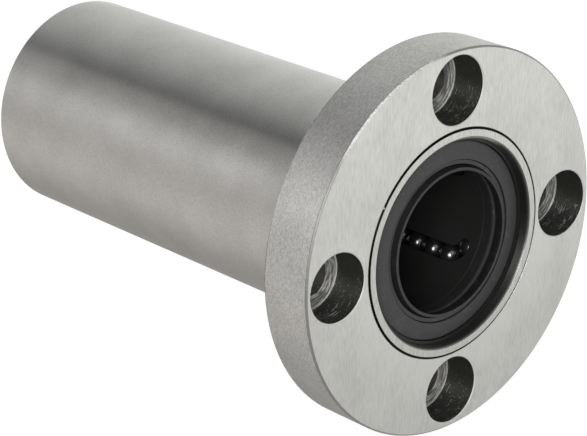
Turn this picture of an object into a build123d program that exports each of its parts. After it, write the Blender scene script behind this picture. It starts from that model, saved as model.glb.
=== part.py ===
from build123d import *
import os
from math import asin, cos, degrees, pi, radians, sin, sqrt

# Flanged long linear ball bearing for a round shaft, with a seal at each end.
# The shaft's axis lies along Y and Y = 0 is the flange's seating face. The flange's front face
# looks towards -Y, the long tail of the outer cylinder reaches towards +Y, and a bolt hole is at the top, +Z.
# A depth is measured inwards from an end face of the outer cylinder. An angle runs from +X towards +Z.

# Shaft, outer cylinder and flange
shaft_diameter = 20.0
outer_diameter = 32.0
bearing_length = 80.0
flange_diameter = 54.0
flange_thickness = 8.0
flange_edge = 0.2
cylinder_proud = 0.1
bolt_circle = 43.0
bolt_count = 4
bolt_hole = 5.5
counterbore = 9.5
counterbore_depth = 5.1
counterbore_edge = 0.12

# Edges of the outer cylinder, the fine groove between nose and flange, and the relief behind the flange
nose_edge = 0.2
tail_edge = 0.4
flange_bore_edge = 0.15
relief_width = 1.0
relief_depth = 0.3
mouth_play = 0.105
mouth_edge = 0.35

# Balls and their circuits. Balls come in thirty-seconds of an inch and fill about half of the wall's room.
ball_step = 25.4 / 32
ball_share = 0.53
ball_gap = 0.01
circuit_count = 5
circuit_clocking = 34.5
turn_share = 0.693
race_play = 0.03
channel_play = 0.05
groove_play = 0.12

# Retainers
shaft_clearance = 0.5
retainer_play = 0.2
collar_play = 0.1
collar_thickness = 0.8
outboard_wall = 1.0
inboard_wall = 0.8
retainer_edge = 0.3

# End rings
ring_depth = 1.35
ring_thickness = 0.7
ring_width = 1.0
ring_play = 0.1
ring_groove_play = 0.05
ring_opening = 5.0
ring_opening_angle = 150.0

# Seals
seal_depth = 4.3
seal_play = 0.05
face_depth = 1.5
face_dish = 0.35
face_corner = 0.2
step_width = 0.17
ledge_depth = 1.4
ledge_width = 0.5
gutter_depth = 2.0
gutter_width = 0.25
lip_depth = 0.65
lip_width = 0.4
lip_foot_width = 0.5
lip_land = 0.4
lip_root_depth = 2.2
lip_root_taper = 0.25
seal_bore_step = 0.15

# Radii that follow
shaft_radius = shaft_diameter / 2
outer_radius = outer_diameter / 2
flange_radius = flange_diameter / 2
ball_diameter = ball_step * round(ball_share * (outer_radius - shaft_radius) / ball_step)
ball_radius = ball_diameter / 2
turn_radius = turn_share * ball_diameter
return_lift = turn_radius / 2
loaded_radius = shaft_radius + ball_radius
return_radius = loaded_radius + return_lift
race_radius = loaded_radius + ball_radius + race_play
channel_radius = ball_radius + channel_play
groove_radius = ball_radius + groove_play
mouth_radius = return_radius + groove_radius + mouth_play
retainer_bore_radius = shaft_radius + shaft_clearance
retainer_radius = race_radius - retainer_play
collar_radius = mouth_radius - collar_play
ring_outer_radius = mouth_radius + ring_width / 2
ring_inner_radius = ring_outer_radius - ring_width
rim_radius = ring_inner_radius - ring_play

# Each circuit is a loop in the plane of its two rows, straight along the shaft and round at both ends.
# One ball pitch of travel brings each ball to the place of the next one.
# Balls need more way along the turn than along a row, and the slacks leave them that way.
pitch = ball_diameter + ball_gap
travel = pitch
turn_step = 2 * turn_radius * asin(pitch / 2 / turn_radius)
turn_balls = int((pi * turn_radius - travel) / turn_step) + 1
turn_slack = (pi * turn_radius - travel - (turn_balls - 1) * turn_step) / 2
row_slack = max(2 * ball_gap, turn_step + 2 * ball_gap - travel - turn_slack)

# The angle between a circuit's two rows, from the chord that joins them
chord = 2 * turn_radius
half_spread = sqrt((chord**2 - return_lift**2) / (4 * loaded_radius * return_radius))
return_angle = degrees(2 * asin(half_spread))

# Stations along the shaft
front_end = -flange_thickness - cylinder_proud
rear_end = front_end + bearing_length
turn_reach = turn_radius + channel_radius
retainer_length = bearing_length / 2 - seal_depth
row_room = retainer_length - outboard_wall - inboard_wall - 2 * turn_reach
row_balls = int((row_room - travel - 2 * row_slack) / pitch) + 1
row_length = (row_balls - 1) * pitch + travel + 2 * row_slack

# Each end's face, its way in, and the side to which its circuits return.
# The rear retainer is the front one turned round, so it has the other side.
ends = {"front": (front_end, 1, 1), "rear": (rear_end, -1, -1)}


def across(y):
    """The plane across the shaft at y, with +X as its x and +Z as its y."""
    return Plane.XZ.offset(-y)


def polar(radius, angle):
    """A point in a plane across the shaft."""
    return radius * cos(radians(angle)), radius * sin(radians(angle))


def place(end, depth):
    """The y of a depth inwards from one end of the outer cylinder."""
    face, way, side = ends[end]
    return face + way * depth


def outboard_turn(end):
    """The y about which the balls turn near the end of the bearing."""
    return place(end, seal_depth + outboard_wall + turn_reach)


def inboard_turn(end):
    """The y about which the balls turn near the middle of the bearing."""
    return place(end, seal_depth + outboard_wall + turn_reach + row_length)


def rows(end, number):
    """The centres of one circuit's loaded and return rows, in a plane across the shaft."""
    side = ends[end][2]
    angle = circuit_clocking + number * 360 / circuit_count
    return Vector(*polar(loaded_radius, angle)), Vector(*polar(return_radius, angle + side * return_angle))


def on_loop(end, number, way, turn, angle):
    """A point on a turn that bulges the given way along Y, at an angle in radians from the loaded row."""
    loaded, back = rows(end, number)
    middle = (loaded + back) / 2
    flat = middle + (loaded - middle) * cos(angle)
    return flat.X, turn + way * turn_radius * sin(angle), flat.Y


def finish(piece, name):
    """Label a piece and write it."""
    piece.label = name
    export_step(piece, f"parts/{name}.step")


def channel(end, number):
    """The racetrack tube that one circuit's balls run in."""
    way = ends[end][1]
    start, stop = outboard_turn(end), inboard_turn(end)
    with BuildPart() as tube:
        with BuildLine() as loop:
            for angle in (0, pi):
                Line(on_loop(end, number, -way, start, angle), on_loop(end, number, way, stop, angle))
            for turn, outward in ((stop, way), (start, -way)):
                ThreePointArc(*[on_loop(end, number, outward, turn, angle) for angle in (0, pi / 2, pi)])
        with BuildSketch(across(start)):
            with Locations(rows(end, number)[0]):
                Circle(channel_radius)
        sweep(path=loop.wire())
    return tube.part


def make_retainer(end):
    """A moulded cage: a thin tube with a collar at its outboard end and a channel for each circuit."""
    way = ends[end][1]
    outboard = place(end, seal_depth)
    channels = [channel(end, number) for number in range(circuit_count)]
    with BuildPart() as retainer:
        with BuildSketch(across(outboard)):
            Circle(retainer_radius)
            Circle(retainer_bore_radius, mode=Mode.SUBTRACT)
        extrude(amount=-way * retainer_length)
        with BuildSketch(across(outboard)):
            Circle(collar_radius)
            Circle(retainer_bore_radius, mode=Mode.SUBTRACT)
        extrude(amount=-way * collar_thickness)
        rims = retainer.edges().filter_by(GeomType.CIRCLE)
        chamfer(rims.group_by(Axis.Y)[0] + rims.group_by(Axis.Y)[-1], length=retainer_edge)
        add(channels, mode=Mode.SUBTRACT)
    finish(retainer.part, f"{end}_retainer")


def make_seal(end):
    """A rubber wiper: a dished face with a ledge, a gutter, a lip on the shaft and a shoulder behind."""
    lip = shaft_radius
    foot = lip + lip_foot_width
    gutter = foot + gutter_width
    ledge = gutter + ledge_width
    bore = lip + lip_root_taper + seal_bore_step
    outside = mouth_radius - seal_play
    shoulder = ring_depth + ring_thickness
    section = [
        (lip, lip_depth + lip_land),
        (lip, lip_depth),
        (lip + lip_width, lip_depth),
        (foot, gutter_depth),
        (gutter, gutter_depth),
        (gutter, ledge_depth),
        (ledge, ledge_depth),
        (ledge + step_width, face_depth - face_dish),
        (rim_radius - face_corner, face_depth),
    ]
    back = [
        (rim_radius, face_depth + face_corner),
        (rim_radius, shoulder),
        (outside, shoulder),
        (outside, seal_depth),
        (bore, seal_depth),
        (bore, lip_root_depth),
        (lip + lip_root_taper, lip_root_depth),
        (lip, lip_depth + lip_land),
    ]
    way = ends[end][1]
    with BuildPart() as seal:
        with BuildSketch(Plane.XY):
            with BuildLine():
                Polyline(*[(radius, place(end, depth)) for radius, depth in section])
                CenterArc(
                    (rim_radius - face_corner, place(end, face_depth + face_corner)),
                    face_corner,
                    -90 * way,
                    90 * way,
                )
                Polyline(*[(radius, place(end, depth)) for radius, depth in back])
            make_face()
        revolve(axis=Axis.Y)
    finish(seal.part, f"{end}_seal")


def make_end_ring(end):
    """A flat open ring that snaps into the groove and holds the seal and the retainer."""
    way = ends[end][1]
    with BuildPart() as ring:
        with BuildSketch(across(place(end, ring_depth))):
            Circle(ring_outer_radius)
            Circle(ring_inner_radius, mode=Mode.SUBTRACT)
            with Locations(Vector(*polar(ring_outer_radius, ring_opening_angle))):
                Rectangle(outer_radius, ring_opening, rotation=ring_opening_angle, mode=Mode.SUBTRACT)
        extrude(amount=-way * ring_thickness)
    finish(ring.part, f"{end}_end_ring")


def make_balls(name, centres):
    """One group of balls that move together."""
    with BuildPart() as balls:
        with Locations(*centres):
            Sphere(ball_radius)
    finish(balls.part, name)


def make_circuit(end, number):
    """The four groups of balls of one circuit, with the loaded row at its outboard limit."""
    way = ends[end][1]
    loaded, back = rows(end, number)
    turn = outboard_turn(end)
    circuit = f"{end}_circuit_{number + 1}"
    steps = [row_slack + i * pitch for i in range(row_balls)]
    make_balls(f"{circuit}_loaded_balls", [(loaded.X, turn + way * s, loaded.Y) for s in steps])
    make_balls(f"{circuit}_return_balls", [(back.X, turn + way * (travel + s), back.Y) for s in steps])
    angles = [(turn_slack + i * turn_step) / turn_radius for i in range(turn_balls)]
    outboard = [on_loop(end, number, -way, turn, pi - angle) for angle in angles]
    inboard = [on_loop(end, number, way, inboard_turn(end), angle) for angle in angles]
    make_balls(f"{circuit}_outboard_turn_balls", outboard)
    make_balls(f"{circuit}_inboard_turn_balls", inboard)


os.makedirs("parts", exist_ok=True)

# Outer cylinder: a tube with a ground race over each loaded length, relieved at the turns and return rows
with BuildPart() as outer_cylinder:
    with BuildSketch(across(front_end)):
        Circle(outer_radius)
        Circle(mouth_radius, mode=Mode.SUBTRACT)
    extrude(amount=-bearing_length)
    front_rims = outer_cylinder.edges().group_by(Axis.Y)[0].sort_by(SortBy.RADIUS)
    rear_rims = outer_cylinder.edges().group_by(Axis.Y)[-1].sort_by(SortBy.RADIUS)
    chamfer(front_rims[0], length=mouth_edge)
    chamfer(rear_rims[0], length=mouth_edge)
    chamfer(front_rims[-1], length=nose_edge)
    chamfer(rear_rims[-1], length=tail_edge)
    with BuildSketch(across(0)):
        Circle(flange_radius)
        Circle(outer_radius - relief_depth, mode=Mode.SUBTRACT)
    extrude(amount=-relief_width, mode=Mode.SUBTRACT)
    run_out = mouth_radius - race_radius
    root = (mouth_radius + outer_radius) / 2
    for end in ends:
        way = ends[end][1]
        start, stop = outboard_turn(end), inboard_turn(end)
        with BuildSketch(Plane.XY):
            Polygon(
                (root, start - way * run_out),
                (mouth_radius, start - way * run_out),
                (race_radius, start),
                (race_radius, stop),
                (mouth_radius, stop + way * run_out),
                (root, stop + way * run_out),
                align=None,
            )
        revolve(axis=Axis.Y)
        with BuildSketch(across(start - way * run_out)):
            with Locations(*[rows(end, number)[1] for number in range(circuit_count)]):
                Circle(groove_radius)
        extrude(amount=-way * (row_length + 2 * run_out), mode=Mode.SUBTRACT)
        with BuildSketch(across(place(end, ring_depth - ring_groove_play))):
            Circle(ring_outer_radius + ring_play)
            Circle(mouth_radius - ring_play, mode=Mode.SUBTRACT)
        extrude(amount=-way * (ring_thickness + 2 * ring_groove_play), mode=Mode.SUBTRACT)
finish(outer_cylinder.part, "outer_cylinder")

# Flange: a plain ring on the outer cylinder with counterbored bolt holes
with BuildPart() as flange:
    with BuildSketch(across(-flange_thickness)):
        Circle(flange_radius)
        Circle(outer_radius, mode=Mode.SUBTRACT)
    extrude(amount=-flange_thickness)
    front_face_rims = flange.edges().group_by(Axis.Y)[0].sort_by(SortBy.RADIUS)
    rear_face_rims = flange.edges().group_by(Axis.Y)[-1].sort_by(SortBy.RADIUS)
    chamfer([front_face_rims[-1], rear_face_rims[-1]], length=flange_edge)
    chamfer(front_face_rims[0], length=flange_bore_edge)
    with Locations(across(-flange_thickness)):
        with PolarLocations(bolt_circle / 2, bolt_count):
            CounterBoreHole(bolt_hole / 2, counterbore / 2, counterbore_depth, depth=flange_thickness)
    mouths = flange.edges().filter_by(GeomType.CIRCLE).group_by(Axis.Y)[0]
    chamfer([e for e in mouths if abs(e.radius - counterbore / 2) < flange_edge], length=counterbore_edge)
finish(flange.part, "flange")

for end in ends:
    make_retainer(end)
    make_seal(end)
    make_end_ring(end)
    for number in range(circuit_count):
        make_circuit(end, number)

print("balls in a row", row_balls, "and in a turn", turn_balls)
print("travel", round(travel, 4), "mm and", round(degrees(travel / turn_radius), 3), "degrees")
print("row length", round(row_length, 3), "mm, return angle", round(return_angle, 3), "degrees")
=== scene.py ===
import math
import bpy
from mathutils import Matrix, Vector

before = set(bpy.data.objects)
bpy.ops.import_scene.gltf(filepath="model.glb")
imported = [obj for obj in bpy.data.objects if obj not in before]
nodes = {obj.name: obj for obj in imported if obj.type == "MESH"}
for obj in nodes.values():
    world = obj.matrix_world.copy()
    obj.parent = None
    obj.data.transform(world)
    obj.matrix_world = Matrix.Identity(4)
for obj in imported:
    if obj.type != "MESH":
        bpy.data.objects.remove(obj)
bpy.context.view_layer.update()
mm = 0.001

# The CAD's measures that the finishes follow. The shaft's axis lies along Y, the front face looks
# towards -Y and a bolt hole is at the top, +Z
sleeve = {
    "outerRadius": 16.0 * mm,
    "noseEdge": 0.2 * mm,
    "mouthRadius": 14.5 * mm,
    "mouthEdge": 0.35 * mm,
    "frontEnd": -8.1 * mm,
    "rearEnd": 71.9 * mm,
}
flange = {
    "radius": 27.0 * mm,
    "edge": 0.2 * mm,
    "frontFace": -8.0 * mm,
    "backFace": 0.0,
    "boltCircleRadius": 21.5 * mm,
    "counterboreRadius": 4.75 * mm,
    "counterboreEdge": 0.12 * mm,
    "boltHoleRadius": 2.75 * mm,
    "shoulder": -2.9 * mm,
}
seal = {
    "boreRadius": 10.0 * mm,
    "lipDepth": 0.65 * mm,
    "gutterRadius": 10.75 * mm,
    "ledgeRadius": 11.25 * mm,
    "faceRadius": 11.42 * mm,
    "rootDepth": 2.2 * mm,
}


# Helpers for building shader trees. A span is low, high and, where it has them, what is put out
# there, which is 0 and 1 otherwise. A band is half its width, then half the width of its soft edge

def makeMaterial(name):
    material = bpy.data.materials.new(name)
    material.use_nodes = True
    material.node_tree.nodes.clear()
    return material, material.node_tree


def addNode(tree, kind, **values):
    node = tree.nodes.new(kind)
    for key, value in values.items():
        setattr(node, key, value)
    return node


def plug(tree, value, socket):
    if isinstance(value, bpy.types.NodeSocket):
        tree.links.new(value, socket)
    else:
        socket.default_value = value


def calc(tree, operation, *values):
    node = addNode(tree, "ShaderNodeMath", operation=operation)
    for value, socket in zip(values, node.inputs):
        plug(tree, value, socket)
    return node.outputs[0]


def multiply(tree, first, *others):
    for other in others:
        first = calc(tree, "MULTIPLY", first, other)
    return first


def varied(tree, value, least, extra):
    # From least, where the value is 0, to extra more, where it is 1
    return calc(tree, "ADD", least, multiply(tree, value, extra))


def mapRange(tree, kind, value, low, high, outLow=0.0, outHigh=1.0):
    node = addNode(tree, "ShaderNodeMapRange", interpolation_type=kind)
    for number, socket in zip((value, low, high, outLow, outHigh), node.inputs):
        plug(tree, number, socket)
    return node.outputs[0]


def ease(tree, value, *span):
    return mapRange(tree, "SMOOTHSTEP", value, *span)


def easeFrom(tree, value, start, low, high, *ends):
    # An ease whose low and high are measured from the start
    return ease(tree, value, start + low, start + high, *ends)


def around(tree, value, centre, halfWidth, edge):
    # 1 within the band about the centre, fading to 0 over its edge
    away = calc(tree, "ABSOLUTE", calc(tree, "SUBTRACT", value, centre))
    return ease(tree, away, halfWidth - edge, halfWidth + edge, 1.0, 0.0)


mixSockets = {"FLOAT": (2, 0), "VECTOR": (4, 1), "RGBA": (6, 2)}  # first input, output


def mix(tree, kind, factor, first, second):
    node = addNode(tree, "ShaderNodeMix", data_type=kind)
    entry, result = mixSockets[kind]
    plug(tree, factor, node.inputs[0])
    plug(tree, first, node.inputs[entry])
    plug(tree, second, node.inputs[entry + 1])
    return node.outputs[result]


def opaque(colour):
    return colour if isinstance(colour, bpy.types.NodeSocket) else (*colour, 1)


def mixValue(tree, factor, first, second):
    return mix(tree, "FLOAT", factor, first, second)


def mixColour(tree, factor, first, second):
    return mix(tree, "RGBA", factor, opaque(first), opaque(second))


def noise(tree, vector, scale, detail, roughness, fourth=None):
    node = addNode(tree, "ShaderNodeTexNoise", noise_dimensions="3D" if fourth is None else "4D")
    plug(tree, vector, node.inputs["Vector"])
    plug(tree, scale, node.inputs["Scale"])
    if fourth is not None:
        plug(tree, fourth, node.inputs["W"])
    node.inputs["Detail"].default_value = detail
    node.inputs["Roughness"].default_value = roughness
    return node.outputs["Fac"]


def combine(tree, x, y, z):
    node = addNode(tree, "ShaderNodeCombineXYZ")
    for value, socket in zip((x, y, z), node.inputs):
        plug(tree, value, socket)
    return node.outputs[0]


def split(tree, vector):
    node = addNode(tree, "ShaderNodeSeparateXYZ")
    plug(tree, vector, node.inputs[0])
    return node.outputs


def objectPlace(tree):
    return addNode(tree, "ShaderNodeTexCoord").outputs["Object"]


def stretched(tree, size, turn=(0.0, 0.0, 0.0)):
    # The Object place counted in sizes along each axis, after a turn
    mapping = addNode(tree, "ShaderNodeMapping", vector_type="TEXTURE")
    plug(tree, turn, mapping.inputs["Rotation"])
    plug(tree, size, mapping.inputs["Scale"])
    plug(tree, objectPlace(tree), mapping.inputs["Vector"])
    return mapping.outputs[0]


def planarLength(tree, first, second):
    square = calc(tree, "ADD", multiply(tree, first, first), multiply(tree, second, second))
    return calc(tree, "SQRT", square)


def bump(tree, height, distance):
    node = addNode(tree, "ShaderNodeBump")
    node.inputs["Distance"].default_value = distance
    plug(tree, height, node.inputs["Height"])
    return node.outputs[0]


def newGroup(name, inputs, outputs):
    group = bpy.data.node_groups.new(name, "ShaderNodeTree")
    for label, value in inputs.items():
        socket = group.interface.new_socket(label, in_out="INPUT", socket_type="NodeSocketFloat")
        socket.default_value = value
    for label in outputs:
        group.interface.new_socket(label, in_out="OUTPUT", socket_type="NodeSocketFloat")
    given = group.nodes.new("NodeGroupInput").outputs
    return group, given, group.nodes.new("NodeGroupOutput").inputs


def useGroup(tree, group, values=None):
    node = addNode(tree, "ShaderNodeGroup", node_tree=group)
    for key, value in (values or {}).items():
        plug(tree, value, node.inputs[key])
    return node.outputs


def finishShader(tree, colour, metallic, roughness, normal=None, tangent=None, **values):
    shader = addNode(tree, "ShaderNodeBsdfPrincipled")
    plug(tree, colour, shader.inputs["Base Color"])
    plug(tree, metallic, shader.inputs["Metallic"])
    plug(tree, roughness, shader.inputs["Roughness"])
    if normal is not None:
        plug(tree, normal, shader.inputs["Normal"])
    if tangent is not None:
        plug(tree, tangent, shader.inputs["Tangent"])
    for key, value in values.items():
        shader.inputs[key].default_value = value
    plug(tree, shader.outputs[0], addNode(tree, "ShaderNodeOutputMaterial").inputs["Surface"])


# Shader groups that the finishes share. Each noise here is its detail and its roughness

marks = {
    "grain": {"Size": 0.22 * mm, "Cloud Size": 8 * mm},
    "grainNoise": (2.0, 0.6),
    "cloudNoise": (3.0, 0.55),
    "turned": {"Width": 0.15 * mm, "Length": 0.6 * mm},
    "turnedNoise": (2.0, 0.6),
    "cut": {"Width": 0.10 * mm, "Length": 1.3 * mm},
    "cutNoise": (2.0, 0.6),
    "cutReach": -0.15 * mm,  # from the counterbore's wall: further out the arcs keep one radius
    "ground": {"Width": 0.12 * mm, "Length": 1.5 * mm, "Tilt": 0.08},
    "groundDepth": 10 * mm,
    "groundNoise": (3.0, 0.6),
    "patchSize": (4 * mm, 10 * mm, 6 * mm),
}


def buildShaftFrame():
    # The radius about the shaft, the place along Y, and the depth from the sleeve's nearer end
    group, _, out = newGroup("shaftFrame", {}, ("Radius", "Along", "Depth"))
    x, y, z = split(group, objectPlace(group))
    plug(group, planarLength(group, x, z), out["Radius"])
    plug(group, y, out["Along"])
    depth = calc(group, "MINIMUM", calc(group, "SUBTRACT", y, sleeve["frontEnd"]),
                 calc(group, "SUBTRACT", sleeve["rearEnd"], y))
    plug(group, depth, out["Depth"])
    return group


def buildBoltFrame():
    # The distance from the axis of the nearest bolt hole, and the height above that axis
    group, _, out = newGroup("boltFrame", {}, ("Radius", "Rise"))
    x, _, z = split(group, objectPlace(group))
    sideways = calc(group, "GREATER_THAN", calc(group, "ABSOLUTE", x), calc(group, "ABSOLUTE", z))
    away = []
    for value, share in ((x, sideways), (z, calc(group, "SUBTRACT", 1.0, sideways))):
        axis = multiply(group, calc(group, "SIGN", value), flange["boltCircleRadius"])
        away.append(calc(group, "SUBTRACT", value, multiply(group, axis, share)))
    plug(group, planarLength(group, *away), out["Radius"])
    plug(group, away[1], out["Rise"])
    return group


def buildGrain():
    # Fine even grain, and soft clouds behind it
    group, given, out = newGroup("fineGrain", marks["grain"], ("Grain", "Cloud"))
    place = objectPlace(group)
    for size, label, kind in (("Size", "Grain", "grainNoise"),
                              ("Cloud Size", "Cloud", "cloudNoise")):
        scale = calc(group, "DIVIDE", 1.0, given[size])
        plug(group, noise(group, place, scale, *marks[kind]), out[label])
    return group


def buildTurnedMarks():
    # Grain drawn out around the shaft, thin along it
    group, given, out = newGroup("turnedMarks", marks["turned"], ("Marks",))
    size = combine(group, given["Length"], given["Width"], given["Length"])
    plug(group, noise(group, stretched(group, size), 1.0, *marks["turnedNoise"]), out["Marks"])
    return group


def buildCutMarks():
    # Arcs about each bolt hole, thin across the cut and long around it
    group, given, out = newGroup("cutMarks", marks["cut"], ("Marks",))
    x, y, z = split(group, objectPlace(group))
    radius = calc(group, "MINIMUM", useGroup(group, boltFrame)["Radius"],
                  flange["counterboreRadius"] + marks["cutReach"])
    place = combine(group, calc(group, "DIVIDE", x, given["Length"]),
                    calc(group, "DIVIDE", radius, given["Width"]),
                    calc(group, "DIVIDE", z, given["Length"]))
    along = calc(group, "DIVIDE", y, given["Width"])
    plug(group, noise(group, place, 1.0, *marks["cutNoise"], along), out["Marks"])
    return group


def buildGroundLines():
    # The straight strokes that a surface grinder leaves on a flat face across the shaft
    group, given, out = newGroup("groundLines", marks["ground"], ("Lines", "Patches"))
    turn = combine(group, 0.0, given["Tilt"], 0.0)
    stroke = combine(group, given["Width"], marks["groundDepth"], given["Length"])
    for label, size in (("Lines", stroke), ("Patches", marks["patchSize"])):
        place = stretched(group, size, turn)
        plug(group, noise(group, place, 1.0, *marks["groundNoise"]), out[label])
    return group


shaftFrame = buildShaftFrame()
boltFrame = buildBoltFrame()
fineGrain = buildGrain()
turnedMarks = buildTurnedMarks()
cutMarks = buildCutMarks()
groundLines = buildGroundLines()


# Ground steel: what the sleeve and the flange have in common

steel = {
    "light": (0.67, 0.665, 0.66),
    "dark": (0.53, 0.525, 0.52),
    # the colour of painted shade, in the joint and in the sleeve's mouth
    "paintedShadeColour": (0.020, 0.020, 0.018),
    "acrossShaft": (1, 0, 0),
    "alongShaft": (0, 1, 0),
}


def grindingWay(tree, onFace):
    # The tangent: across the shaft on the flat faces, along it elsewhere
    return mix(tree, "VECTOR", onFace, steel["alongShaft"], steel["acrossShaft"])


sleeveFinish = {
    "endSpan": (0.01 * mm, 0.03 * mm, 1.0, 0.0),  # by depth
    "cloudShare": 0.4,
    "toneSpan": (0.36, 0.64),
    # painted shade on the nose's edge in the joint, and in the mouth, less at the top
    "noseShadeSpan": (-0.05 * mm, -0.01 * mm),  # from the nose's edge
    "noseShadeAlong": (0.4 * mm, 0.8 * mm, 1.0, 0.0),  # from the flange's front face
    "mouthSpan": (-0.03 * mm, 0.02 * mm, 1.0, 0.0),  # from the mouth's edge
    "mouthShade": (-0.3 * mm, 0.0, 0.92, 0.42),  # from the mouth's edge
    "shadeHeightSpan": (11 * mm, 14 * mm, 1.0, 0.25),  # by height
    "nickPlace": (-13.40 * mm, -8.0 * mm, 8.74 * mm),
    "nickSpan": (0.1 * mm, 0.25 * mm, 0.55, 1.0),
    "shadeRoughness": 0.7,
    # painted shade: the sleeve's bore inside the mouth is coloured near black
    "race": (0.035, 0.035, 0.033),
    "raceSpan": (-0.4 * mm, -0.2 * mm, 1.0, 0.0),  # from the mouth's wall
    "raceMetallic": 0.3,
    "roughness": (0.26, 0.06),  # least, and what the clouds add
    "grainDepth": 0.008 * mm,
    "anisotropy": 0.93,
}


def makeSleeveSteel():
    material, tree = makeMaterial("groundSleeveSteel")
    look = sleeveFinish
    about = useGroup(tree, shaftFrame)
    radius, along = about["Radius"], about["Along"]
    grain = useGroup(tree, fineGrain)
    place = objectPlace(tree)
    onEnd = ease(tree, about["Depth"], *look["endSpan"])
    tone = mixValue(tree, look["cloudShare"], grain["Grain"], grain["Cloud"])
    tone = mixValue(tree, onEnd, tone, useGroup(tree, groundLines)["Lines"])
    colour = mixColour(tree, ease(tree, tone, *look["toneSpan"]), steel["dark"], steel["light"])
    # Painted shade darkens the nose's edge in the joint against the flange. Painted shade also
    # darkens the mouth in front of the end ring, deepest inwards, and less at the top
    nose = sleeve["outerRadius"] - sleeve["noseEdge"] - sleeve["frontEnd"]
    noseShade = easeFrom(tree, calc(tree, "SUBTRACT", radius, along), nose, *look["noseShadeSpan"])
    noseShade = multiply(tree, noseShade, easeFrom(tree, along, flange["frontFace"], *look["noseShadeAlong"]))
    edge = sleeve["mouthRadius"] + sleeve["mouthEdge"]
    mouth = multiply(tree, easeFrom(tree, radius, edge, *look["mouthSpan"]),
                     easeFrom(tree, radius, edge, *look["mouthShade"]))
    shadeByHeight = ease(tree, split(tree, place)[2], *look["shadeHeightSpan"])
    paintedShade = calc(tree, "MAXIMUM", noseShade, multiply(tree, mouth, shadeByHeight))
    # A burr bridges the painted shade of the joint between sleeve and flange in one place
    nick = addNode(tree, "ShaderNodeVectorMath", operation="DISTANCE")
    plug(tree, place, nick.inputs[0])
    plug(tree, look["nickPlace"], nick.inputs[1])
    paintedShade = multiply(tree, paintedShade, ease(tree, nick.outputs["Value"], *look["nickSpan"]))
    colour = mixColour(tree, paintedShade, colour, steel["paintedShadeColour"])
    # Painted shade colours the sleeve's bore inside the mouth near black
    inside = easeFrom(tree, radius, sleeve["mouthRadius"], *look["raceSpan"])
    colour = mixColour(tree, inside, colour, look["race"])
    rough = varied(tree, grain["Cloud"], *look["roughness"])
    rough = mixValue(tree, paintedShade, rough, look["shadeRoughness"])
    metallic = mixValue(tree, inside, 1.0, look["raceMetallic"])
    finishShader(tree, colour, metallic, rough, bump(tree, grain["Grain"], look["grainDepth"]),
                 grindingWay(tree, onEnd), Anisotropic=look["anisotropy"])
    return material


pocket = {
    # painted shade: the hole's wall, shoulder and bore are coloured dark
    "wall": (0.030, 0.0305, 0.026),
    "shoulder": (0.17, 0.167, 0.155),
    "bore": (0.060, 0.060, 0.055),
    "scratch": (0.88, 0.87, 0.84),
    "metallic": 0.45,
    "roughness": 0.45,
    "cutHeight": 0.3,  # a share of the flange's grain depth
    "broadCut": {"Width": 0.22 * mm, "Length": 1.8 * mm},
    "patchNoise": (1 / (1.6 * mm), 2.0, 0.6),  # scale, detail, roughness
    "speckNoise": (1 / (0.2 * mm), 1.0, 0.5),
    "shoulderBand": (0.05 * mm, 0.01 * mm),
    "boreSpan": (0.02 * mm, 0.08 * mm, 1.0, 0.0),  # from the bolt hole's wall
    "scratchSpan": (0.58, 0.70),
    "patchSpan": (0.46, 0.62, 0.0, 0.7),
    "speckSpan": (0.66, 0.76),
    "speckShare": 0.4,
    "lowSpan": (-4 * mm, 1 * mm, 1.0, 0.12),  # by height above the hole's axis
    "arcSpan": (0.42, 0.58),
    "arcBreaks": (0.36, 0.58, 0.15, 0.9),
    "footInset": 0.13 * mm,
    "footBand": (0.12 * mm, 0.05 * mm),
    "footBreaks": (0.3, 0.5, 0.6, 1.0),
    "wallSpan": (0.02 * mm, 0.05 * mm, 1.0, 0.0),  # from the counterbore's wall
    "frontSpan": (0.12 * mm, 0.16 * mm),  # from the flange's front face
    "backSpan": (-0.05 * mm, -0.02 * mm, 1.0, 0.0),  # from its back face
}


def makePocket(tree, hole, along, colour):
    # A bolt hole: a drilled wall with scattered scratches, mostly low down, a shoulder with bright
    # arcs and a bright line at its foot, and a rough bore, all three painted dark as painted shade
    # in the hollow
    thin = useGroup(tree, cutMarks)["Marks"]
    broad = useGroup(tree, cutMarks, pocket["broadCut"])["Marks"]
    patches = noise(tree, objectPlace(tree), *pocket["patchNoise"])
    specks = noise(tree, objectPlace(tree), *pocket["speckNoise"])
    onShoulder = around(tree, along, flange["shoulder"], *pocket["shoulderBand"])
    inBore = easeFrom(tree, hole["Radius"], flange["boltHoleRadius"], *pocket["boreSpan"])
    scratch = multiply(tree, ease(tree, thin, *pocket["scratchSpan"]),
                       ease(tree, patches, *pocket["patchSpan"]))
    specks = multiply(tree, ease(tree, specks, *pocket["speckSpan"]), pocket["speckShare"])
    scratch = multiply(tree, calc(tree, "ADD", scratch, specks),
                       ease(tree, hole["Rise"], *pocket["lowSpan"]))
    arcs = multiply(tree, ease(tree, broad, *pocket["arcSpan"]),
                    ease(tree, thin, *pocket["arcBreaks"]))
    foot = around(tree, hole["Radius"], flange["counterboreRadius"] - pocket["footInset"],
                  *pocket["footBand"])
    foot = multiply(tree, foot, ease(tree, thin, *pocket["footBreaks"]))
    arcs = calc(tree, "MAXIMUM", arcs, foot)
    ground = mixColour(tree, onShoulder, pocket["wall"], pocket["shoulder"])
    ground = mixColour(tree, inBore, ground, pocket["bore"])
    ground = mixColour(tree, mixValue(tree, onShoulder, scratch, arcs), ground, pocket["scratch"])
    inHole = easeFrom(tree, hole["Radius"], flange["counterboreRadius"], *pocket["wallSpan"])
    inHole = multiply(tree, inHole,
                      easeFrom(tree, along, flange["frontFace"], *pocket["frontSpan"]),
                      easeFrom(tree, along, flange["backFace"], *pocket["backSpan"]))
    return inHole, mixColour(tree, inHole, colour, ground), thin


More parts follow.
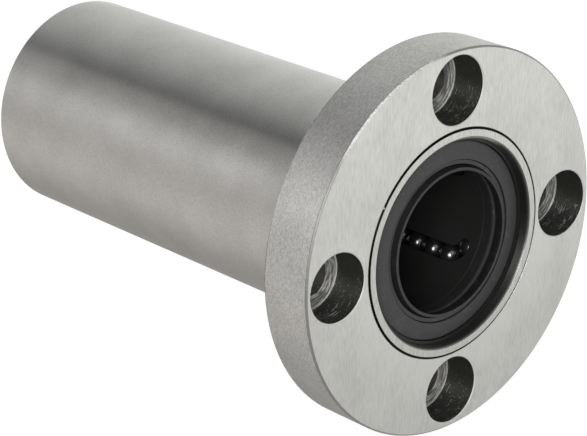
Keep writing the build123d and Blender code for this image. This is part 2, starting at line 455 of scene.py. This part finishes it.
flangeFinish = {
    "faceBand": (0.02 * mm, 0.005 * mm),
    "rimDark": (0.46, 0.455, 0.45),
    "rimLight": (0.70, 0.695, 0.69),
    "rimShares": (0.8, 0.5),  # the marks' against the clouds, and the grain's among the marks
    "rimShift": 0.06,
    "patchShare": 0.3,
    # painted light on the faces around the lower half of the sleeve
    "liftRadius": (17 * mm, 23 * mm, 0.12, 0.0),
    "liftHeight": (-6 * mm, 6 * mm, 1.0, 0.0),
    "toneLow": (0.32, 0.34),  # on the rim, on the faces
    "toneHigh": (0.57, 0.66),
    "edgeSpan": (-0.06 * mm, -0.02 * mm),
    # painted shade on the rim's edges, and a painted highlight at the upper left
    "shadedEdge": (0.43, 0.43, 0.42),
    "highlightEdge": (0.88, 0.88, 0.86),
    "edgeRoughness": (0.7, 0.36),  # dull, under the painted highlight
    "highlightMetallic": 0.35,
    "highlightWay": (-0.47, 0.883),
    "highlightSpan": (0.90, 0.97),
    "highlightBreaks": (0.35, 0.6, 0.45, 1.0),
    # the colour of painted shade in the joint and along the rim's edges
    "line": (0.22, 0.22, 0.21),
    "jointBand": (0.11 * mm, 0.02 * mm),
    "wallSpan": (0.01 * mm, 0.03 * mm),  # from the front face
    "lineInset": 0.255 * mm,
    "lineBand": (0.05 * mm, 0.02 * mm),
    "lineRadius": (-0.2 * mm, -0.1 * mm),  # from the rim
    "lineBreaks": (0.35, 0.55),
    # painted highlight on the counterbores' edges
    "brightEdge": (0.62, 0.62, 0.60),
    "mouthSpan": (0.01 * mm, 0.05 * mm, 1.0, 0.0),  # from the counterbore's edge
    "mouthAlong": (0.2 * mm, 0.3 * mm, 1.0, 0.0),  # from the front face
    "mouthRoughness": 0.6,
    "mouthMetallic": 0.25,
    "rimRoughness": 0.40,
    "faceRoughness": 0.30,
    "rimMetallic": 0.86,
    "grainDepth": 0.028 * mm,
    "strokeHeight": 0.12,  # a share of the grain's depth
    "anisotropy": 0.80,
}


def makeFlangeSteel():
    material, tree = makeMaterial("groundFlangeSteel")
    look = flangeFinish
    about = useGroup(tree, shaftFrame)
    hole = useGroup(tree, boltFrame)
    grain = useGroup(tree, fineGrain)
    turned = useGroup(tree, turnedMarks)["Marks"]
    lines = useGroup(tree, groundLines)
    radius, along = about["Radius"], about["Along"]
    x, _, z = split(tree, objectPlace(tree))
    onFace = calc(tree, "MAXIMUM", *[around(tree, along, flange[face], *look["faceBand"])
                                     for face in ("frontFace", "backFace")])
    # The rim's tone, and the faces', which carry painted light around the lower half of the sleeve
    marksShare, grainShare = look["rimShares"]
    rimTone = mixValue(tree, grainShare, turned, grain["Grain"])
    rimTone = mixValue(tree, marksShare, grain["Cloud"], rimTone)
    paintedFaceLight = multiply(tree, ease(tree, radius, *look["liftRadius"]),
                      ease(tree, z, *look["liftHeight"]))
    faceTone = mixValue(tree, look["patchShare"], lines["Lines"], lines["Patches"])
    faceTone = calc(tree, "ADD", faceTone, paintedFaceLight)
    tone = mixValue(tree, onFace, calc(tree, "SUBTRACT", rimTone, look["rimShift"]), faceTone)
    tone = ease(tree, tone, mixValue(tree, onFace, *look["toneLow"]),
                mixValue(tree, onFace, *look["toneHigh"]))
    colour = mixColour(tree, onFace, mixColour(tree, tone, look["rimDark"], look["rimLight"]),
                       mixColour(tree, tone, steel["dark"], steel["light"]))
    # The turned edges are rougher than the ground faces, and painted darker as painted shade
    corner = flange["radius"] - flange["edge"]
    front = easeFrom(tree, calc(tree, "SUBTRACT", radius, along), corner - flange["frontFace"],
                     *look["edgeSpan"])
    back = easeFrom(tree, calc(tree, "ADD", radius, along), corner, *look["edgeSpan"])
    edges = calc(tree, "MAXIMUM", front, back)
    # A painted highlight lies on the rim's edges at the upper left
    across, up = (multiply(tree, value, part) for value, part in zip((x, z), look["highlightWay"]))
    paintedHighlight = calc(tree, "DIVIDE", calc(tree, "ADD", across, up), radius)
    paintedHighlight = multiply(tree, ease(tree, paintedHighlight, *look["highlightSpan"]),
                    ease(tree, grain["Grain"], *look["highlightBreaks"]))
    edgeColour = mixColour(tree, paintedHighlight, look["shadedEdge"], look["highlightEdge"])
    colour = mixColour(tree, edges, colour, edgeColour)
    # Painted shade lies in the joint against the sleeve, and a broken line of painted shade inside
    # each of the rim's edges
    jointShade = around(tree, radius, sleeve["outerRadius"], *look["jointBand"])
    colour = mixColour(tree, jointShade, colour, look["line"])
    wall = multiply(tree, jointShade, easeFrom(tree, along, flange["frontFace"], *look["wallSpan"]))
    colour = mixColour(tree, wall, colour, steel["paintedShadeColour"])
    linePlaces = (flange["frontFace"] + look["lineInset"], flange["backFace"] - look["lineInset"])
    shadeLines = calc(tree, "MAXIMUM", *[around(tree, along, place, *look["lineBand"])
                                        for place in linePlaces])
    shadeLines = multiply(tree, shadeLines,
                         easeFrom(tree, radius, flange["radius"], *look["lineRadius"]),
                         ease(tree, turned, *look["lineBreaks"]))
    colour = mixColour(tree, shadeLines, colour, look["line"])
    # A painted highlight makes the counterbores' edges bright
    rim = flange["counterboreRadius"] + flange["counterboreEdge"] + flange["frontFace"]
    mouth = easeFrom(tree, calc(tree, "ADD", hole["Radius"], along), rim, *look["mouthSpan"])
    mouth = multiply(tree, mouth, easeFrom(tree, along, flange["frontFace"], *look["mouthAlong"]))
    colour = mixColour(tree, mouth, colour, look["brightEdge"])
    inHole, colour, cuts = makePocket(tree, hole, along, colour)
    rough = mixValue(tree, onFace, look["rimRoughness"], look["faceRoughness"])
    rough = mixValue(tree, calc(tree, "MAXIMUM", inHole, jointShade), rough, pocket["roughness"])
    rough = mixValue(tree, edges, rough, mixValue(tree, paintedHighlight, *look["edgeRoughness"]))
    rough = mixValue(tree, mouth, rough, look["mouthRoughness"])
    metallic = mixValue(tree, onFace, look["rimMetallic"], 1.0)
    metallic = mixValue(tree, inHole, metallic, pocket["metallic"])
    metallic = mixValue(tree, mouth, metallic, look["mouthMetallic"])
    metallic = mixValue(tree, multiply(tree, edges, paintedHighlight), metallic, look["highlightMetallic"])
    strokes = multiply(tree, lines["Lines"], look["strokeHeight"])
    height = mixValue(tree, inHole, mixValue(tree, onFace, turned, strokes),
                      multiply(tree, cuts, pocket["cutHeight"]))
    finishShader(tree, colour, metallic, rough, bump(tree, height, look["grainDepth"]),
                 grindingWay(tree, onFace), Anisotropic=look["anisotropy"])
    return material


# Painted shade: the polished balls are coloured far darker than bare steel
ball = {
    "dark": (0.11, 0.11, 0.108),
    "light": (0.13, 0.13, 0.128),
    "hazeNoise": (900.0, 2.0, 0.5),  # scale, detail, roughness
    "roughness": (0.17, 0.04),  # least, and what the haze adds
    "metallic": 0.92,
}


def makeBallSteel():
    material, tree = makeMaterial("polishedBallSteel")
    haze = noise(tree, objectPlace(tree), *ball["hazeNoise"])
    colour = mixColour(tree, haze, ball["dark"], ball["light"])
    finishShader(tree, colour, ball["metallic"], varied(tree, haze, *ball["roughness"]))
    return material


cage = {
    "dark": (0.013, 0.013, 0.0125),
    "light": (0.017, 0.017, 0.0165),
    "grain": {"Size": 0.15 * mm, "Cloud Size": 5 * mm},
    "grainDepth": 0.002 * mm,
    "roughness": (0.5, 0.15),  # least, and what the clouds add
    "specular": 0.12,
}


def makeCageResin():
    material, tree = makeMaterial("blackCageResin")
    grain = useGroup(tree, fineGrain, cage["grain"])
    colour = mixColour(tree, grain["Cloud"], cage["dark"], cage["light"])
    rough = varied(tree, grain["Cloud"], *cage["roughness"])
    finishShader(tree, colour, 0.0, rough, bump(tree, grain["Grain"], cage["grainDepth"]),
                 **{"Specular IOR Level": cage["specular"]})
    return material


rubber = {
    "face": (0.050, 0.0514, 0.0508),
    "lip": (0.035, 0.0353, 0.035),
    # painted shade: the gutter and the step take this colour, the bore the next, darker one
    "gutter": (0.009, 0.0091, 0.009),
    "bore": (0.005, 0.005, 0.005),
    "landSpan": (0.29 * mm, 0.33 * mm),  # from the bore
    "topSpan": (0.02 * mm, 0.08 * mm, 1.0, 0.0),  # from the lip's depth
    # Where each zone begins, how far from there its colour does, and which colour that is
    "zones": (("gutterRadius", -0.03 * mm, "face"), ("ledgeRadius", 0.02 * mm, "gutter"),
              ("faceRadius", -0.03 * mm, "face")),
    "zoneFade": (-0.02 * mm, 0.02 * mm),
    "dust": (0.22, 0.22, 0.21),
    "dustNoise": (2600.0, 3.0, 0.7),  # scale, detail, roughness
    "dustSpan": (0.66, 0.74),
    "dustShares": (0.75, 0.3),  # on the plain zones, on the matt ones
    "scuff": (0.10, 0.10, 0.098),
    "scuffNoise": (500.0, 4.0, 0.7),
    "scuffSpan": (0.52, 0.72),
    "scuffShares": (0.35, 0.08),
    "rootBelow": 0.35 * mm,
    "rootBand": (0.3 * mm, 0.28 * mm),
    "rootRadius": (0.5 * mm, 0.6 * mm, 1.0, 0.0),  # from the bore
    "rootBreaks": (0.0, 0.5, 0.38, 0.6),
    "grain": {"Size": 0.12 * mm, "Cloud Size": 3 * mm},
    "grainDepth": 0.003 * mm,
    "roughness": (0.41, 0.08),  # least, and what the clouds add
    "mattRoughness": 0.8,
    "specular": 0.25,
}


def makeSealRubber():
    material, tree = makeMaterial("mattSealRubber")
    about = useGroup(tree, shaftFrame)
    radius, depth = about["Radius"], about["Depth"]
    grain = useGroup(tree, fineGrain, rubber["grain"])
    place = objectPlace(tree)
    dust = ease(tree, noise(tree, place, *rubber["dustNoise"]), *rubber["dustSpan"])
    scuff = ease(tree, noise(tree, place, *rubber["scuffNoise"]), *rubber["scuffSpan"])
    # Outwards from the shaft: the land, the lip's top, the gutter, the ledge, its step, the face.
    # Their
    # colours carry painted shade: the bore, the gutter and the step are darker than the face
    inside = easeFrom(tree, radius, seal["boreRadius"], *rubber["landSpan"])
    colour = mixColour(tree, inside, rubber["bore"], rubber["gutter"])
    onTop = easeFrom(tree, depth, seal["lipDepth"], *rubber["topSpan"])
    colour = mixColour(tree, onTop, colour, rubber["lip"])
    matt = 1.0
    for label, shift, tint in rubber["zones"]:
        outside = easeFrom(tree, radius, seal[label] + shift, *rubber["zoneFade"])
        colour = mixColour(tree, outside, colour, rubber[tint])
        matt = mixValue(tree, outside, matt, 0.0 if tint == "face" else 1.0)
    matt = multiply(tree, matt, calc(tree, "SUBTRACT", 1.0, onTop))
    for kind, mask in (("scuff", scuff), ("dust", dust)):
        share = multiply(tree, mask, mixValue(tree, matt, *rubber[kind + "Shares"]))
        colour = mixColour(tree, share, colour, rubber[kind])
    # A pale band lies at the lip's root
    root = around(tree, depth, seal["rootDepth"] + rubber["rootBelow"], *rubber["rootBand"])
    root = multiply(tree, root, easeFrom(tree, radius, seal["boreRadius"], *rubber["rootRadius"]),
                    ease(tree, scuff, *rubber["rootBreaks"]))
    colour = mixColour(tree, root, colour, rubber["scuff"])
    rough = varied(tree, grain["Cloud"], *rubber["roughness"])
    rough = mixValue(tree, matt, rough, rubber["mattRoughness"])
    finishShader(tree, colour, 0.0, rough, bump(tree, grain["Grain"], rubber["grainDepth"]),
                 **{"Specular IOR Level": rubber["specular"]})
    return material


ring = {
    "dark": (0.012, 0.012, 0.012),
    "light": (0.03, 0.03, 0.028),
    "grain": {"Size": 0.1 * mm, "Cloud Size": 3 * mm},
    "grainDepth": 0.002 * mm,
    "metallic": 0.3,
    "roughness": 0.45,
}


def makeRingSteel():
    material, tree = makeMaterial("blackRingSteel")
    grain = useGroup(tree, fineGrain, ring["grain"])
    colour = mixColour(tree, grain["Cloud"], ring["dark"], ring["light"])
    finishShader(tree, colour, ring["metallic"], ring["roughness"],
                 bump(tree, grain["Grain"], ring["grainDepth"]))
    return material


def dress(material, *names):
    for name in names:
        mesh = nodes[name].data
        mesh.materials.clear()
        mesh.materials.append(material)


dress(makeSleeveSteel(), "outer_cylinder")
dress(makeFlangeSteel(), "flange")
dress(makeBallSteel(), *[name for name in nodes if name.endswith("_balls")])
dress(makeCageResin(), "front_retainer", "rear_retainer")
dress(makeSealRubber(), "front_seal", "rear_seal")
dress(makeRingSteel(), "front_end_ring", "rear_end_ring")
print("materials dressed")


# Floor, world, lamp and camera

floorLook = {
    "gap": 0.2 * mm,
    "size": 3.0,
    "colour": (0.5, 0.5, 0.5),
    "glow": 0.74,
}


def makeFloor():
    bpy.ops.mesh.primitive_plane_add(size=floorLook["size"], location=(0, 0, 0))
    floor = bpy.context.object
    floor.name = "floor"
    floor.data.transform(Matrix.Translation((0, 0, -flange["radius"] - floorLook["gap"])))
    floor.visible_glossy = False  # the steel mirrors the world's cards instead
    material, tree = makeMaterial("paleFloor")
    path = addNode(tree, "ShaderNodeLightPath")
    glow = addNode(tree, "ShaderNodeEmission")
    strength = multiply(tree, path.outputs["Is Camera Ray"], floorLook["glow"])
    plug(tree, strength, glow.inputs["Strength"])
    matt = addNode(tree, "ShaderNodeBsdfDiffuse")
    plug(tree, opaque(floorLook["colour"]), matt.inputs["Color"])
    both = addNode(tree, "ShaderNodeAddShader")
    plug(tree, glow.outputs[0], both.inputs[0])
    plug(tree, matt.outputs[0], both.inputs[1])
    plug(tree, both.outputs[0], addNode(tree, "ShaderNodeOutputMaterial").inputs["Surface"])
    floor.data.materials.append(material)


# What the steel mirrors: the angle from +X over the top, in degrees, and how bright the room is
cards = {
    "sky": ((0, 1.05), (12, 1.0), (27, 0.87), (43, 0.77), (59, 0.65), (75, 0.54), (91, 0.37),
            (104, 0.195), (113, 0.095), (117.5, 0.045)),
    "skyTint": (1.0, 1.008, 0.975),
    "wall": ((119, 0.28), (139, 0.36), (155, 0.50), (171, 0.58), (187, 0.615), (203, 0.71),
             (219, 0.765), (235, 0.715), (251, 0.575), (267, 0.465), (290, 0.407), (325, 0.39),
             (345, 0.72)),
    "wallTint": (1.0, 0.965, 0.915),
}
# What lies over the cards, by the mirrored ray's parts along the axes: grey straight along the
# shaft, a dim front above the floor, a dark patch towards the camera, and a bright one over it
room = {
    "plain": 0.5,
    "poles": {"y": (0.8, 0.97), "level": 0.6},
    "front": {"y": (-0.4, 0.0, 1.0, 0.0), "z": (0.0, 0.15), "share": 0.6, "level": 0.1},
    "dark": {"way": (-0.45, -0.86, 0.2), "cone": (0.86, 0.93), "z": (-0.1, 0.02), "share": 0.85,
             "level": 0.03},
    "lid": {"way": (-0.25, -0.69, 0.68), "cone": (0.90, 0.95), "level": 1.1},
}
pool = {
    "y": (-0.4, 0.2, 1.0, 0.0),
    "z": (-0.15, 0.0, 1.0, 0.0),
    "tint": (1.0, 1.005, 0.962),
    "byHeight": (-0.48, -0.28, 0.58, 1.20),
    "bySide": (0.55, 0.80, 1.315, 0.783),
    "shade": 0.3,
    "shadeEnd": (-0.1, 0.3),  # along X
}


def makeCards(tree, x, z):
    turn = calc(tree, "DIVIDE", calc(tree, "ARCTAN2", z, x), math.tau)
    turn = calc(tree, "FRACT", calc(tree, "ADD", turn, 1.0))
    ramp = addNode(tree, "ShaderNodeValToRGB")
    stops = [(*stop, cards[kind + "Tint"]) for kind in ("sky", "wall") for stop in cards[kind]]
    stops.append((360, cards["sky"][0][1], cards["skyTint"]))
    elements = ramp.color_ramp.elements
    while len(elements) < len(stops):
        elements.new(0.5)
    for element, (angle, level, tint) in zip(elements, stops):
        element.position = angle / 360
        element.color = (*[level * part for part in tint], 1)
    plug(tree, turn, ramp.inputs[0])
    return ramp.outputs["Color"]


def makePool(tree, x, z):
    # The pool of light on the floor in front
    bright = multiply(tree, mapRange(tree, "LINEAR", z, *pool["byHeight"]),
                      mapRange(tree, "LINEAR", x, *pool["bySide"]))
    bright = mixValue(tree, ease(tree, x, *pool["shadeEnd"]), pool["shade"], bright)
    colour = addNode(tree, "ShaderNodeVectorMath", operation="SCALE")
    plug(tree, pool["tint"], colour.inputs[0])
    plug(tree, bright, colour.inputs["Scale"])
    return colour.outputs[0]


def towards(tree, way, patch):
    dot = addNode(tree, "ShaderNodeVectorMath", operation="DOT_PRODUCT")
    plug(tree, way, dot.inputs[0])
    plug(tree, Vector(patch["way"]).normalized(), dot.inputs[1])
    return ease(tree, dot.outputs["Value"], *patch["cone"])


def makeWorld():
    world = bpy.data.worlds.new("studio")
    bpy.context.scene.world = world
    world.use_nodes = True
    tree = world.node_tree
    tree.nodes.clear()
    path = addNode(tree, "ShaderNodeLightPath")
    way = addNode(tree, "ShaderNodeTexCoord").outputs["Generated"]
    x, y, z = split(tree, way)
    poles, front, dark, lid = (room[name] for name in ("poles", "front", "dark", "lid"))
    colour = mixColour(tree, ease(tree, calc(tree, "ABSOLUTE", y), *poles["y"]),
                       makeCards(tree, x, z), [poles["level"]] * 3)
    inPool = multiply(tree, ease(tree, y, *pool["y"]), ease(tree, z, *pool["z"]))
    colour = mixColour(tree, inPool, colour, makePool(tree, x, z))
    inFront = multiply(tree, ease(tree, y, *front["y"]), ease(tree, z, *front["z"]), front["share"])
    colour = mixColour(tree, inFront, colour, [front["level"]] * 3)
    inDark = multiply(tree, towards(tree, way, dark), ease(tree, z, *dark["z"]), dark["share"])
    colour = mixColour(tree, inDark, colour, [dark["level"]] * 3)
    colour = mixColour(tree, towards(tree, way, lid), colour, [lid["level"]] * 3)
    # Only mirrors see the room: matt surfaces get plain light, and the camera sees white
    mirrored = calc(tree, "MAXIMUM", path.outputs["Is Glossy Ray"],
                    path.outputs["Is Transmission Ray"])
    shown = mixColour(tree, mirrored, [room["plain"]] * 3, colour)
    shown = mixColour(tree, path.outputs["Is Camera Ray"], shown, (1, 1, 1))
    background = addNode(tree, "ShaderNodeBackground")
    plug(tree, shown, background.inputs["Color"])
    plug(tree, background.outputs[0], addNode(tree, "ShaderNodeOutputWorld").inputs["Surface"])


keyLook = {
    "way": (-0.73, -0.61, 0.31),
    "distance": 0.5,
    "size": 0.24,
    "power": 1.86,
}


def makeKeyLamp():
    light = bpy.data.lights.new("keyLamp", "AREA")
    light.shape = "DISK"
    light.size = keyLook["size"]
    light.energy = keyLook["power"]
    lamp = bpy.data.objects.new("keyLamp", light)
    bpy.context.scene.collection.objects.link(lamp)
    way = Vector(keyLook["way"]).normalized()
    lamp.location = way * keyLook["distance"]
    lamp.rotation_mode = "QUATERNION"
    lamp.rotation_quaternion = way.to_track_quat("Z", "Y")


camera = {
    "place": (-0.208605, -0.201733, 0.118166),
    "aim": (0.630296, 0.680493, -0.373706),
    "right": (0.732985, -0.680240, -0.002412),
    "lens": 141.9,
    "sensor": 36.0,
    "nearest": 0.01,
    "farthest": 20.0,
}


def makeCamera():
    data = bpy.data.cameras.new("camera")
    data.lens = camera["lens"]
    data.sensor_width = camera["sensor"]
    data.sensor_fit = "HORIZONTAL"
    data.clip_start = camera["nearest"]
    data.clip_end = camera["farthest"]
    eye = bpy.data.objects.new("camera", data)
    bpy.context.scene.collection.objects.link(eye)
    back = -Vector(camera["aim"]).normalized()
    right = Vector(camera["right"]).normalized()
    turned = Matrix((right, back.cross(right), back)).transposed().to_4x4()
    eye.matrix_world = Matrix.Translation(camera["place"]) @ turned
    bpy.context.scene.camera = eye


makeFloor()
makeWorld()
makeKeyLamp()
makeCamera()
bpy.context.scene.view_settings.view_transform = "Standard"
print("studio and camera made")
